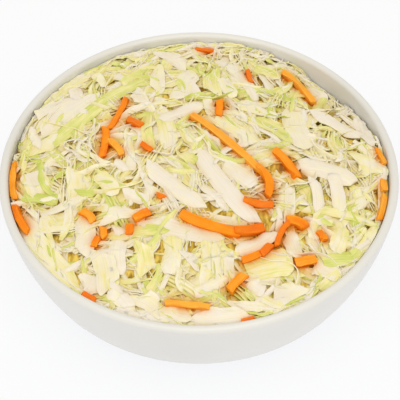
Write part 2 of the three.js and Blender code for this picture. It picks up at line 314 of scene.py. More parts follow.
def heap_level(x, y):
    """The level of the heap's surface over a point in plan."""
    angle = np.arctan2(y, x)
    back = np.maximum(0, np.sin(angle)) ** 2
    hollow = np.exp(-(((angle - HOLLOW_ANGLE) / HOLLOW_SPREAD) ** 2))
    drop = EDGE_DROP_FRONT + EDGE_DROP_BACK * back + HOLLOW_DROP * hollow
    reach = np.minimum(1, np.hypot(x, y) / HEAP_RADIUS)
    return BOWL_HEIGHT - drop + (HEAP_TOP - BOWL_HEIGHT + drop) * (1 - reach ** HEAP_FULLNESS)


def wavy(along, across, wave):
    """Smooth crests one way, which sway the other way."""
    pitch, sway, sway_pitch = wave
    return np.sin(pitch * along + sway * np.sin(sway_pitch * across))


def ripple(share, strength):
    """A smooth random line along a shred, as a sum of a few sines."""
    total = np.zeros_like(share)
    for wave in range(1, RIPPLE_WAVES + 1):
        size = rng.normal() / wave ** RIPPLE_FADE
        total += size * np.sin(2 * math.pi * (wave * share * RIPPLE_PITCH + rng.random()))
    return strength * total


def evened(grid, steps):
    """A grid averaged over its neighbourhood, again at each of the steps."""
    for step in steps:
        shifts = [(row, column) for row in (-step, 0, step) for column in (-step, 0, step)]
        grid = sum(np.roll(grid, shift, (0, 1)) for shift in shifts) / len(shifts)
    return grid


def finer_steps(count, times):
    """So many times as many steps: the station before each one, and how far past it that is."""
    fine = np.linspace(0, count - 1, times * count)
    before = np.minimum(fine.astype(int), count - 2)
    return before, fine - before


def left_of(line):
    """The direction to the left of a line in plan, all along it."""
    tangent = np.gradient(line, axis=0)
    left = np.stack([-tangent[:, 1], tangent[:, 0]], -1)
    return left / np.maximum(np.hypot(left[:, 0], left[:, 1]), 1e-6)[:, None]


class Relief:
    """How high the heap stands over each cell of a square grid in plan."""

    def __init__(self):
        self.reach = int(math.ceil(RIM_RADIUS / CELL))
        axis = np.arange(-self.reach, self.reach + 1) * CELL
        x, y = np.meshgrid(axis, axis)
        self.target = heap_level(x, y)
        self.height = self.target - CORE_DEPTH
        self.show = np.zeros(x.shape)
        self.juice = np.zeros(x.shape)
        self.pit = np.zeros(x.shape, bool)
        for pit_x, pit_y, size in PITS:
            squeeze = 1 + PIT_SQUEEZE * rng.random()
            turn = rng.random() * math.pi
            along = (x - pit_x) * math.cos(turn) + (y - pit_y) * math.sin(turn)
            across = (y - pit_y) * math.cos(turn) - (x - pit_x) * math.sin(turn)
            self.pit |= np.hypot(along / squeeze, across * squeeze) < PIT_REACH * size
        self.target[self.pit] -= PIT_DEPTH

    def cell(self, x, y):
        column = np.clip(np.rint(x / CELL).astype(int) + self.reach, 0, 2 * self.reach)
        row = np.clip(np.rint(y / CELL).astype(int) + self.reach, 0, 2 * self.reach)
        return row, column

    def at(self, x, y):
        return self.height[self.cell(x, y)]

    def missing(self, x, y):
        """How far the heap is below its wanted level."""
        cell = self.cell(x, y)
        return self.target[cell] - self.height[cell]

    def shown(self, x, y):
        """How much there is under a line that has to stay in sight."""
        return self.show[self.cell(x, y)].mean()

    def over_pits(self, x, y):
        """The share of these points that lie over gaps."""
        return self.pit[self.cell(x, y)].mean()

    def raise_to(self, x, y, z):
        np.maximum.at(self.height, self.cell(x, y), z)

    def lower_target(self, x, y, depth):
        """The wanted level lowered, to leave room for a shred."""
        wanted = heap_level(x, y) - depth
        np.minimum.at(self.target, self.cell(x, y), wanted)

    def even_out(self):
        """The height averaged over the neighbourhood, which tells what lies in a gap."""
        self.near = evened(self.height, (1,))
        self.even = evened(self.near, (SHADE_REACH // 2, SHADE_REACH))
        self.juice = evened(self.juice, JUICE_SPREAD)

    def juice_at(self, points):
        """1 beside a carrot stick, 0 well away from any."""
        return self.juice[self.cell(points[:, 0], points[:, 1])]

    def shade_at(self, points):
        """How much painted shade a point gets: 0 at the surface, 1 well below it or close under a
        neighbour.
        """
        cell = self.cell(points[:, 0], points[:, 1])
        painted_shade = np.clip((self.even[cell] - points[:, 2] - SHADE_START) / SHADE_RANGE, 0, 1)
        close = np.clip((self.near[cell] - points[:, 2] - NEAR_START) / NEAR_RANGE, 0, 1)
        return np.clip(painted_shade + NEAR_SHARE * close, 0, 1)


class Batch:
    """Many shreds of one kind, gathered into one mesh."""

    def __init__(self, name):
        self.name = name
        self.points = []
        self.quads = []
        self.triangles = []
        self.tones = []
        self.grains = []
        self.size = 0

    def add(self, rings, tips, tone, grain):
        """One shred: its rings and tips, with a tone and a grain for each point."""
        quads, triangles = ring_faces(*rings.shape[:2], self.size)
        self.quads.append(quads)
        self.triangles.append(triangles)
        self.points.append(np.concatenate([rings.reshape(-1, 3), tips]))
        self.tones.append(np.concatenate([tone.reshape(-1), tone[[0, -1], 0]]))
        self.grains.append(np.concatenate([grain.reshape(-1, 3), grain[[0, -1], 0]]))
        self.size += len(self.points[-1])

    def build(self, relief):
        points = np.concatenate(self.points)
        mesh = mesh_of(self.name, points, np.concatenate(self.quads), np.concatenate(self.triangles))
        # Painted shade: how far each point lies down a gap or close under a neighbour, for the material
        # to darken
        write_values(mesh, "shade", relief.shade_at(points))
        write_values(mesh, "juice", relief.juice_at(points))
        write_values(mesh, "tone", np.concatenate(self.tones))
        grain = mesh.attributes.new("grain", "FLOAT_VECTOR", "POINT")
        grain.data.foreach_set("vector", np.concatenate(self.grains).astype(np.float32).ravel())
        return link(mesh)


def ring_faces(rows, around, base=0):
    """Faces that join rings of points and close them on the two tips that follow the rings."""
    ring = base + np.arange(rows * around).reshape(rows, around)
    onward = np.roll(ring, -1, axis=1)
    quads = np.stack([ring[:-1], onward[:-1], onward[1:], ring[1:]], -1).reshape(-1, 4)
    first = base + rows * around
    start = np.stack([np.full(around, first), onward[0], ring[0]], -1)
    end = np.stack([np.full(around, first + 1), ring[-1], onward[-1]], -1)
    return quads, np.concatenate([start, end])


def mesh_of(name, points, quads, triangles):
    """A smooth mesh from faces and points in millimetres."""
    mesh = bpy.data.meshes.new(name)
    mesh.vertices.add(len(points))
    mesh.vertices.foreach_set("co", (points * MM).astype(np.float32).ravel())
    corners = np.concatenate([quads.ravel(), triangles.ravel()])
    mesh.loops.add(len(corners))
    mesh.loops.foreach_set("vertex_index", corners.astype(np.int32))
    counts = np.concatenate([np.full(len(quads), 4), np.full(len(triangles), 3)])
    mesh.polygons.add(len(counts))
    mesh.polygons.foreach_set("loop_start", (np.cumsum(counts) - counts).astype(np.int32))
    mesh.update(calc_edges=True)
    mesh.validate()
    mesh.shade_smooth()
    return mesh


def write_values(mesh, name, values):
    """One number for each point of a mesh, for its material to read."""
    mesh.attributes.new(name, "FLOAT", "POINT").data.foreach_set("value", values.astype(np.float32))


def link(mesh):
    """A piece of the scene with a mesh and its name."""
    piece = bpy.data.objects.new(mesh.name, mesh)
    bpy.context.scene.collection.objects.link(piece)
    return piece


def pick(limits):
    """A random number between two limits."""
    low, high = limits
    return low + (high - low) * rng.random()


def station_shares():
    """Stations along a shred, closer together towards its ends."""
    even = np.linspace(0, 1, STATIONS)
    return 0.5 * even + 0.5 * (0.5 - 0.5 * np.cos(math.pi * even))


def walk(turn, length, centre):
    """A line in plan of a given length that heads as told, round a centre."""
    step = np.diff(station_shares(), prepend=0) * length
    line = np.stack([np.cumsum(np.cos(turn) * step), np.cumsum(np.sin(turn) * step)], -1)
    return line - line.mean(0) + centre


def random_plan(kind, length):
    """A wandering line in plan round a random place, which runs much as its neighbours do."""
    share = station_shares()
    radius = HEAP_RADIUS * math.sqrt(rng.random())
    place = rng.random() * 2 * math.pi
    centre = radius * np.array([math.cos(place), math.sin(place)])
    run = wavy(centre[0], centre[1], GRAIN_WAVE_X) + wavy(centre[1], centre[0], GRAIN_WAVE_Y)
    heading = GRAIN_SWING * run + GRAIN_HEADING
    heading += GRAIN_TURN * rng.normal() + math.pi * (rng.random() < 0.5)
    bow = kind["bow"] * (2 * rng.random() - 1)
    swing = kind["wave"] * (2 * rng.random() - 1)
    turn = heading + bow * (share - 0.5) + swing * np.sin(2 * math.pi * share * WAVE_TURNS)
    return walk(turn, length, centre)


def wall_plan(_, length):
    """A line in plan that runs along the dish's wall."""
    place = rng.random() * 2 * math.pi
    radius = HEAP_RADIUS * (1 - WALL_BAND * rng.random())
    bend = (station_shares() - 0.5) * length / radius
    turn = place + math.pi / 2 + bend + WALL_TURN * rng.normal()
    return walk(turn, length, radius * np.array([math.cos(place), math.sin(place)]))


def drawn_plan(start, end, bow):
    """A line in plan between two points, bowed sideways by so much at its middle."""
    share = station_shares()[:, None]
    start, end = np.array(start, float), np.array(end, float)
    along = end - start
    left = np.array([-along[1], along[0]]) / np.hypot(*along)
    return start + along * share + left * bow * 4 * share * (1 - share)


def keep_in_dish(line, width):
    """The line pulled in where it would come too near the dish's wall."""
    radius = np.hypot(line[:, 0], line[:, 1])
    limit = inner_radius(heap_level(line[:, 0], line[:, 1])) - CLEARANCE
    outward = line / np.maximum(radius, 1)[:, None]
    across = np.abs((outward * left_of(line)).sum(1))
    limit = limit - across * width * WALL_SHARE
    return line * np.minimum(1, limit / np.maximum(radius, 1e-6))[:, None]


def smooth(values, passes):
    """Values along a line, evened out with their neighbours."""
    for _ in range(passes):
        padded = np.concatenate([values[:1], values, values[-1:]])
        values = 0.25 * padded[:-2] + 0.5 * padded[1:-1] + 0.25 * padded[2:]
    return values


def tilt_along(line, width, relief):
    """How the ground under a shred tilts sideways, and the distance run along it."""
    left = left_of(line)
    offsets = np.linspace(-LEAN_REACH, LEAN_REACH, LEAN_POINTS) * width
    ground = relief.at(line[:, :1] + left[:, :1] * offsets, line[:, 1:] + left[:, 1:] * offsets)
    slope = (ground * offsets).sum(1) / (offsets ** 2).sum()
    run = np.concatenate([[0], np.cumsum(np.hypot(*np.diff(line, axis=0).T))])
    return smooth(np.clip(np.arctan(slope), -LEAN_MOST, LEAN_MOST), 4), run


def shape(line, tilt, run, shred):
    """The shred's rings of points as if on level ground, its two tips and its grain."""
    share = run / run[-1]
    late = np.clip((share - 0.5) / 0.5, 0, 1)
    height = shred["arch"] * (4 * share * (1 - share) - ARCH_LEVEL) + shred["flick"] * late ** 2
    centre = np.column_stack([line, height])
    tangent = np.gradient(centre, axis=0)
    tangent /= np.linalg.norm(tangent, axis=1)[:, None]
    side = np.stack([-tangent[:, 1], tangent[:, 0], np.zeros(len(line))], -1)
    side /= np.linalg.norm(side, axis=1)[:, None]
    up = np.cross(tangent, side)
    roll = (tilt + shred["twist"] * (share - 0.5) + shred["roll"])[:, None]
    side, up = side * np.cos(roll) + up * np.sin(roll), up * np.cos(roll) - side * np.sin(roll)
    start, end = shred["taper"]
    first, last = shred["tips"]
    swell = first + (1 - first) * np.clip(share / start, 0, 1) ** SWELL_POWER
    swell *= last + (1 - last) * np.clip((1 - share) / end, 0, 1) ** SWELL_POWER
    left, right = [
        0.5 * shred["width"] * swell * np.maximum(NARROWEST, 1 + ripple(share, shred["ragged"]))
        for _ in range(2)
    ]
    half = shred["ring"] // 2
    across = np.concatenate([np.linspace(1, -1, half), np.linspace(-1, 1, half)])
    high = np.repeat([1, -1], half) * (1 - shred["dome"] * across ** 2)
    reach = np.where(across > 0, left[:, None], right[:, None]) * across
    lift = 0.5 * shred["thick"] * (TIP_THICKNESS + (1 - TIP_THICKNESS) * swell)[:, None] * high
    lift = lift + shred["curl"] * shred["width"] * (CURL_LEVEL - across ** 2)
    if shred["ruffle"]:
        waves = np.where(across > 0, ripple(share, 1.0)[:, None], ripple(share, 1.0)[:, None])
        lift = lift + shred["ruffle"] * waves * across ** 2
    slant = shred["slant"] * (2 * np.abs(share - 0.5))[:, None] ** 3 * np.sign(share - 0.5)[:, None]
    rings = centre[:, None] + side[:, None] * reach[..., None] + up[:, None] * lift[..., None]
    rings += tangent[:, None] * (slant * reach)[..., None]
    tips = rings[[0, -1]].mean(1)
    grain = np.stack([np.broadcast_to(run[:, None], reach.shape), reach,
                      np.full(reach.shape, shred["place"])], -1)
    return rings, tips, grain


def settle(rings, tips, run, shred, relief):
    """The shred lowered onto the heap, bending no more than it can."""
    room = relief.at(rings[..., 0], rings[..., 1]) - rings[..., 2]
    high = shred["high"]
    support = (1 - high) * room.mean(1) + high * room.max(1) - shred["thick"] * SETTLE_SINK
    reach = np.abs(run[:, None] - run[None, :])
    height = smooth((support[None, :] - shred["stiff"] * reach).max(1), 3)
    half = rings.shape[1] // 2
    middle = 0.5 * (room[:, :half] + room[:, half:][:, ::-1]) - height[:, None]
    bend = smooth(smooth(np.maximum(0, middle), 1).T, 1).T * shred["drape"]
    rings[..., 2] += height[:, None] + np.concatenate([bend, bend[:, ::-1]], 1)
    tips[:, 2] += height[[0, -1]] + bend[[0, -1]].mean(1)
    for points in (rings, tips):
        limit = heap_level(points[..., 0], points[..., 1]) + PROUD
        over = np.maximum(0, points[..., 2] - limit)
        points[..., 2] -= over * (1 - PROUD_SHARE)


def press_in(points):
    """Points kept inside the dish's inner face."""
    radius = np.hypot(points[..., 0], points[..., 1])
    limit = inner_radius(points[..., 2])
    scale = np.minimum(1, limit / np.maximum(radius, 1e-6))
    points[..., :2] *= scale[..., None]
    return points


def leave_mark(rings, relief):
    """The heap's relief raised under the shred's upper side."""
    tops = rings[:, : (rings.shape[1] + 1) // 2]
    before, past = finer_steps(len(tops), MARK_ALONG)
    past = past[:, None, None]
    tops = tops[before] * (1 - past) + tops[before + 1] * past
    before, past = finer_steps(tops.shape[1], MARK_ACROSS)
    past = past[None, :, None]
    tops = tops[:, before] * (1 - past) + tops[:, before + 1] * past
    relief.raise_to(tops[..., 0], tops[..., 1], tops[..., 2])


def draw_shred(kind):
    """One shred of a kind, with its random sizes."""
    return kind | dict(
        width=pick(kind["width"]), thick=pick(kind["thick"]),
        curl=kind["curl"] * (2 * rng.random() - 1), twist=kind["twist"] * rng.normal(),
        roll=kind["roll"] * rng.normal() + kind["lean"], arch=kind["arch"] * rng.normal(),
        flick=kind["flick"] * max(0, rng.normal()), slant=kind["slant"] * rng.normal(),
        edge_tone=EDGE_TONE * rng.normal(), taper=(pick(kind["taper"]), pick(kind["taper"])),
        tips=(pick(kind["tip"]), pick(kind["tip"])),
        place=rng.random() * GRAIN_PLACES, tone=pick(kind["tone"]),
        drift=DRIFT_TONE * rng.normal(),
    )


def lay(batch, shred, line, relief):
    """One shred shaped, lowered onto the heap and added to its batch."""
    line = keep_in_dish(line, shred["width"])
    tilt, run = tilt_along(line, shred["width"], relief)
    rings, tips, grain = shape(line, tilt, run, shred)
    settle(rings, tips, run, shred, relief)
    rings, tips = press_in(rings), press_in(tips)
    patch = np.sin(np.multiply(PATCH_PITCH, line[0]) + PATCH_START).prod()
    tone = shred["tone"] + shred["drift"] * (run / run[-1] - 0.5) + PATCH_TONE * patch
    across = grain[..., 1] / (0.5 * shred["width"])
    batch.add(rings, tips, tone[:, None] + shred["edge_tone"] * across ** 2, grain)
    leave_mark(rings, relief)


# What stands out in the photograph: ends in plan, bow, width and thickness in millimetres, and tone
SEEN_LEAVES = [
    ((-84, 27), (-61, 49), 1, 20, 0.7, 0.1),
    ((-10, 42), (-3, 67), 1, 11, 0.7, 0.08),
    ((78, 4), (92, -4), 0, 13, 0.8, 0.25),
    ((49, 40), (55, 8), -2, 12, 0.7, 0.25),
    ((-25, -39), (10, -47), -2, 9.5, 0.9, 0.06),
    ((22, -66), (44, -61), 1, 15, 0.7, 0.3),
    ((-85, -30), (-58, -74), -4, 10, 0.8, 0.3),
    ((-13, -48), (-14, -69), 1, 9, 0.7, 0.34),
    ((-38, -50), (-37, -68), -1, 8, 0.7, 0.2),
    ((-55, -70), (-44, -77), 1, 9, 0.7, 0.08),
    ((-46, -56), (-42, -76), 1, 11, 0.7, 0.3),
    ((34, -82), (48, -74), 1, 9, 0.7, 0.02),
    ((84, 38), (89, 15), -1, 7, 0.7, 0.12),
    ((-57, -34), (-55, -56), 2, 10, 0.7, 0.06),
    ((-19, 30), (-15, 6), 1, 9, 0.7, 0.25),
    ((8, 46), (7, 66), 1, 9, 0.7, 0.46),
    ((-85, -4), (-78, -20), 1, 12, 0.7, 0.06),
    ((-82, 8), (-68, 22), 1, 10, 0.7, 0.35),
    ((-79, 50), (-60, 68), 1, 8, 0.7, 0.45),
    ((-67, 57), (-64, 47), 0, 7, 0.7, 0.02),
    ((-34, 50), (-29, 39), 0, 8, 0.7, 0.12),
    ((-24, 70), (-22, 49), 1, 8, 0.7, 0.26),
    ((-21, 86), (-7, 70), 1, 9, 0.7, 0.14),
    ((8, 26), (28, 10), 1, 9, 0.7, 0.22),
    ((12, -6), (27, -19), 1, 9, 0.7, 0.12),
    ((-62, -6), (-60, -30), 1, 9, 0.7, 0.3),
    ((-77, -38), (-60, -37), 1, 12, 0.7, 0.32),
    ((-46, -37), (-31, -33), 1, 8, 0.7, 0.1),
    ((-27, -52), (-25, -68), 1, 8, 0.7, 0.5),
    ((42, -46), (45, -59), 1, 8, 0.7, 0.1),
    ((54, -62), (66, -70), 1, 8, 0.7, 0.22),
    ((-28, -80), (-18, -87), 1, 9, 0.7, 0.24),
    ((-17, -86), (-4, -89), -1, 8, 0.7, 0.1),
    ((58, 62), (68, 52), 1, 8, 0.7, 0.2),
    ((68, -40), (64, -54), 1, 8, 0.7, 0.28),
    ((-50, -10), (-41, -24), 1, 8, 0.7, 0.24),
]
SEEN_STRIPS = [
    ((51, -30), (86, -36), 1, 4.8, 0.9, 0.4),
    ((-42, -78), (-30, -88), 1, 6, 0.8, 0.3),
    ((10, 78), (30, 44), 3, 7, 0.8, 0.12),
    ((3, -50), (2, -74), 1, 5, 0.8, 0.28),
    ((8, -52), (9, -70), -1, 4.4, 0.8, 0.3),
    ((14, -58), (14, -73), 0, 5, 0.8, 0.12),
    ((-64, -27), (-66, -47), 2, 4, 0.8, 0.2),
    ((-88, 26), (-82, 12), 1, 5, 0.8, 0.2),
    ((20, 41), (40, 43), -2, 4.5, 0.8, 0.2),
    ((20, 37), (40, 31), 1, 6, 0.8, 0.16),
    ((12, 60), (18, 43), 0, 7, 0.8, 0.2),
    ((4, 43), (6, 30), 0, 5, 0.8, 0.08),
    ((-77, -31), (-54, -22), -1, 4.6, 0.8, 0.1),
    ((-36, 12), (-33, -8), 0, 5, 0.8, 0.12),
    ((-28, -10), (-22, -25), 0, 3.6, 0.8, 0.1),
    ((-37, -22), (-24, -28), 0, 6, 0.8, 0.08),
    ((-8, -23), (8, -27), 0, 3.2, 0.8, 0.08),
    ((44, -18), (42, -40), 1, 5, 0.8, 0.08),
    ((-75, -34), (-69, -52), 0, 3, 0.8, 0.2),
    ((-7, -57), (0, -65), 0, 5, 0.8, 0.02),
    ((-2, -79), (13, -71), 0, 6, 0.8, 0.12),
    ((14, -84), (31, -86), 0, 5, 0.8, 0.14),
    ((24, -78), (38, -85), 0, 5, 0.8, 0.36),
    ((76, -12), (79, -28), 1, 6, 0.8, 0.26),
    ((86, -38), (74, -60), 1, 5, 0.8, 0.36),
    ((-39, -86), (-8, -94), -3, 3.4, 0.8, 0.2),
    ((54, -38), (55, -48), 0, 5.5, 0.8, 0.22),
    ((-46, 66), (-38, 61), 0, 5, 0.8, 0.1),
    ((-57, 66), (-50, 56), 1, 5, 0.8, 0.3),
]
SEEN_GREENS = [
    ((-74, 13), (-30, 60), 3, 9, 0.8, 0.78),
    ((-87, -21), (-69, -24), 1, 6, 0.8, 0.95),
    ((-79, 2), (-69, -22), -4, 3.4, 0.9, 0.92),
    ((-60, -20), (-49, -22), 0, 5, 0.8, 0.95),
    ((58, -60), (80, -55), 0, 7.5, 0.8, 0.84),
    ((-43, -48), (-13, -44), 1, 6.5, 0.8, 0.78),
    ((-27, 31), (-24, 5), -1, 6, 0.9, 0.72),
    ((28, 29), (46, 14), 1, 8, 0.7, 0.74),
    ((30, 72), (44, 66), 1, 7, 0.7, 0.68),
    ((-41, 57), (-31, 69), 1, 6, 0.7, 0.7),
    ((-47, 78), (-38, 74), 0, 6, 0.7, 0.72),
    ((-8, 2), (-2, -4), 0, 7, 0.7, 0.68),
    ((-12, 58), (-9, 49), 1, 4, 0.7, 0.8),
    ((66, -66), (56, -74), 1, 5, 0.7, 0.7),
    ((61, 44), (68, 56), 0, 4.5, 0.7, 0.66),
]
SEEN_RIBS = [
    ((50, -4), (77, -12), 2, 11, 2.2, 0.04),
    ((56, -12), (58, -31), 1, 6, 1.9, 0.02),
    ((66, -8), (68, -31), 1, 7, 1.9, 0.02),
    ((59, 38), (82, 21), 1, 8.5, 1.8, 0.02),
    ((-26, -6), (1, -32), 0, 9, 2.0, 0.0),
    ((-20, 26), (2, 38), 1, 9, 1.7, -0.05),
    ((0, 3), (27, -40), -1.5, 9.5, 2.3, -0.05),
    ((-2, -89), (22, -89), -2, 9, 2.0, 0.04),
    ((-42, -1), (-35, -8), 0, 5, 1.5, 0.0),
    ((24, -72), (30, -78), 0, 7, 1.5, 0.02),
    ((-41, -43), (-35, -46), 0, 5.5, 1.5, 0.02),
    ((-36, -79), (-31, -85), 0, 6, 1.5, 0.02),
]
SEEN_CARROTS = [
    ((-4, 29.5), (30, -10), 1.2, 4.4, 2.6, 0.75),
    ((28.5, -7.5), (33, -26), 3.2, 4.4, 2.6, 0.5),
    ((-9, -35.5), (20, -47), -1.2, 6, 2.6, 0.6),
    ((17, -45.5), (31, -43), -1, 5.5, 2.4, 0.0),
    ((20, -61), (33, -54), -1, 3.8, 2.6, 0.4),
    ((29, -58.5), (34, -53), 0, 4, 2.6, 0.0),
    ((14, -78), (21.5, -69), 1, 4.6, 3.0, 0.6),
    ((37.5, 5.5), (48.5, -12.5), 1, 4.6, 3.2, 0.6),
    ((45.5, 72), (61, 49), 1, 3.8, 2.8, 0.85),
    ((90.5, 13), (94, 3), 0, 2.8, 2.2, 0.8),
    ((91.5, -8), (92, -15), 0, 3.6, 2.4, 0.7),
    ((92.5, -17), (90, -34), 1, 3.6, 2.4, 0.75),
    ((-94, 4), (-90.5, -20), -1, 3.6, 2.6, 0.7),
    ((-90, -25), (-82, -41), -1, 3.8, 2.6, 0.2),
    ((-38, 44), (-46, 21), 1, 3.3, 2.6, 0.35),
    ((-48, 22), (-48.5, 1), 1, 4, 2.8, 0.5),
    ((-46, 12), (-38.5, 2), 1, 3.6, 2.6, 0.9),
    ((-37, 27), (-29, 22), 0, 4.2, 2.6, 0.1),
    ((-29, 9), (-23.5, 3.5), 0, 3, 2.4, 0.0),
    ((-20.5, -24.5), (-17, -26.5), 0, 3, 2.0, 0.0),
    ((-57, -32), (-50.5, -39), 1, 4.4, 3.0, 0.7),
    ((-46, -42), (-44.5, -48), 0, 3.6, 2.8, 0.7),
    ((-47.5, -47.5), (-50, -53), 0, 3.4, 2.8, 0.3),
    ((-33, -41), (-33, -47), 0, 4, 2.8, 0.3),
    ((-31, -39), (-24, -34), 0, 4.6, 2.8, 0.4),
    ((42, -38), (51, -42), 1, 5.2, 3.0, 0.35),
    ((43, -40), (36.5, -54), -1, 3, 2.4, 0.1),
    ((57, -43), (60, -48), 0, 4, 2.4, 0.3),
    ((45, -61.5), (55, -59), 0, 4.8, 2.8, 0.7),
    ((21.5, -27), (36, -30), -1, 4, 2.6, 0.2),
    ((-15.5, -84), (5, -86), 0.5, 3.5, 2.6, 1.0),
    ((19.5, -93), (25.5, -92), 0, 2.6, 2.2, 0.0),
    ((-55, -79), (-48, -82), 0, 3, 2.4, 0.0),
    ((10.8, 41), (10.2, 29), 0, 4, 2.8, 0.4),
    ((-2, 87), (8, 85.5), 0, 2.4, 2.0, 0.0),
    ((26, 68), (27.5, 58), 0, 2.6, 2.0, 0.0),
]
SEEN_TOP_RIBS = [((17, -55), (36, -46), -2, 7.5, 1.6, -0.05)]
SEEN = [
    ("leaves", SEEN_LEAVES), ("strips", SEEN_STRIPS), ("greens", SEEN_GREENS),
    ("ribs", SEEN_RIBS), ("carrots", SEEN_CARROTS), ("ribs", SEEN_TOP_RIBS),
]

# Gaps that show between the shreds: place in plan and width
PITS = [
    (-62, 42, 3), (-81, 25, 2), (-62, 56, 3), (-57, 25, 4), (-47, 60, 3), (-50, 52, 3), (-17, 46, 5),
    (-45, 33, 3), (-50, 30, 3), (-31, 32, 2), (-12, 34, 3), (14, 39, 4), (2, 50, 3), (1, 58, 3),
    (33, 60, 4), (38, 63, 4), (40, 56, 3), (19, 35, 2), (33, 45, 3), (-5, 66, 3), (2, 32, 3),
    (38, 78, 3), (43, 30, 4), (44, 20, 4), (43, 41, 3), (64, 21, 4), (64, 13, 4), (82, 24, 4),
    (77, 18, 3), (72, 34, 2), (52, 33, 2), (68, 50, 2), (-72, -3, 3), (-68, -12, 3), (-73, -17, 3),
    (-69, -25, 3), (-85, 1, 3), (-91, -5, 2), (-69, -31, 4), (-91, 14, 3), (-32, -9, 3), (-18, -10, 3),
    (-41, -1, 3), (-40, 17, 3), (-31, -30, 3), (-9, 6, 3), (-35, -15, 3), (-48, -33, 3), (-39, -27, 3),
    (-4, -6, 4), (12, -10, 3), (23, -23, 3), (2, -23, 2), (5, -33, 3), (34, 14, 3), (27, 8, 3),
    (35, -6, 3), (40, -7, 3), (50, -32, 4), (60, -23, 4), (51, -10, 3), (65, -37, 3), (80, 9, 4),
    (70, -40, 4), (-62, -57, 4), (-62, -61, 3), (-57, -70, 5), (-55, -57, 3), (-58, -65, 4),
    (-69, -44, 3), (-52, -46, 3), (-65, -48, 3), (-80, -51, 3), (-22, -36, 4), (-18, -60, 4),
    (-18, -54, 4), (-31, -54, 3), (-33, -68, 4), (-45, -43, 4), (-12, -48, 2), (-3, -55, 3),
    (-2, -66, 3), (-22, -68, 3), (2, -48, 3), (17, -64, 4), (11, -36, 4), (34, -41, 4), (16, -54, 3),
    (25, -66, 3), (35, -48, 2), (52, -49, 4), (62, -53, 3), (48, -54, 3), (51, -65, 3), (50, -71, 3),
    (70, -54, 2), (57, -76, 3), (36, -78, 3), (-46, -75, 3), (-30, -88, 2), (-19, -89, 3), (-13, -77, 3),
    (16, -81, 3), (1, -94, 3), (87, -17, 3), (83, -26, 3), (83, -37, 3), (-28, -75, 2),
    (-15, -34, 4), (-10, -46, 4), (-3, -52, 3), (4, -32, 5), (13, -37, 4), (32, -35, 4), (27, -50, 3),
]
PIT_REACH = 0.45
PIT_SQUEEZE = 0.5
PIT_DEPTH = 4.4
PIT_FILL = 0.4

# What sets a seen shred apart from a random one of its kind, and a carrot stick from the others
SEEN_ROOM = 0.8
SEEN_TWIST = 0.3
SEEN_RAGGED = 0.4
SEEN_RUFFLE = 0.6
SEEN_HIGH = 0.36
SEEN_TAPER = (0.12, 0.16)
SEEN_TIPS = (0.6, 0.5)
STICK_TAPER = (0.06, 0.08)
STICK_TIPS = (0.85, 0.8)
STICK_SHRINK = 0.9


def seen_shred(name, row):
    """A shred that the photograph shows, and its line in plan."""
    start, end, bow, width, thick, tone = row
    shred = draw_shred(KINDS[name])
    shred.update(width=width, thick=thick, tone=tone, twist=SEEN_TWIST * shred["twist"], roll=0,
                 arch=0, flick=0, ragged=SEEN_RAGGED * shred["ragged"],
                 ruffle=SEEN_RUFFLE * shred["ruffle"], high=max(SEEN_HIGH, shred["high"]),
                 taper=SEEN_TAPER, tips=SEEN_TIPS)
    if name == "carrots":
        shred.update(width=width * STICK_SHRINK, taper=STICK_TAPER, tips=STICK_TIPS)
    return shred, drawn_plan(start, end, bow)


def cover(line, width):
    """Points in plan all over a shred of a width."""
    left = left_of(line)
    before, past = finer_steps(len(line), COVER_ALONG)
    past = past[:, None]
    middle = line[before] * (1 - past) + line[before + 1] * past
    offsets = np.arange(-width / 2, width / 2 + CELL, CELL)
    points = middle[:, None] + left[before][:, None] * offsets[:, None]
    return points[..., 0], points[..., 1]


def build_heap():
    """The heap's relief and its batches of shreds, laid from the core up."""
    relief = Relief()
    batches = {name: Batch("slaw_" + name) for name in KINDS}
    for _, rows in SEEN:
        for start, end, bow, width, thick, _ in rows:
            line = keep_in_dish(drawn_plan(start, end, bow), width)
            relief.lower_target(*cover(line, width), thick * SEEN_ROOM)
    queue = [(pick(KINDS[name]["order"]), name)
             for name, count in LOOSE_KINDS.items() for _ in range(count)]
    for turn, name in sorted(queue):
        place_random(name, batches[name], relief, LOOSE_LEAST, fill=turn < PIT_FILL)
    for name, count in WALL_KINDS.items():
        for _ in range(count):
            place_random(name, batches[name], relief, WALL_LEAST, WALL_SHRINK, plan=wall_plan)
    for name, rows in SEEN:
        for row in rows:
            place_seen(name, batches[name], relief, row)
    for name, count in OVER_KINDS.items():
        for _ in range(count):
            place_random(name, batches[name], relief, OVER_LEAST, OVER_SHRINK)
    return relief, batches


def place_seen(name, batch, relief, row):
    """One shred laid where the photograph shows it, and kept in sight."""
    shred, line = seen_shred(name, row)
    lay(batch, shred, line, relief)
    cells = relief.cell(*cover(line, shred["width"] + OVER_MARGIN))
    relief.show[cells] = np.maximum(relief.show[cells], KEPT_CLEAR[name])
    if name == "carrots":
        relief.juice[relief.cell(*cover(line, shred["width"] + JUICE_MARGIN))] = 1


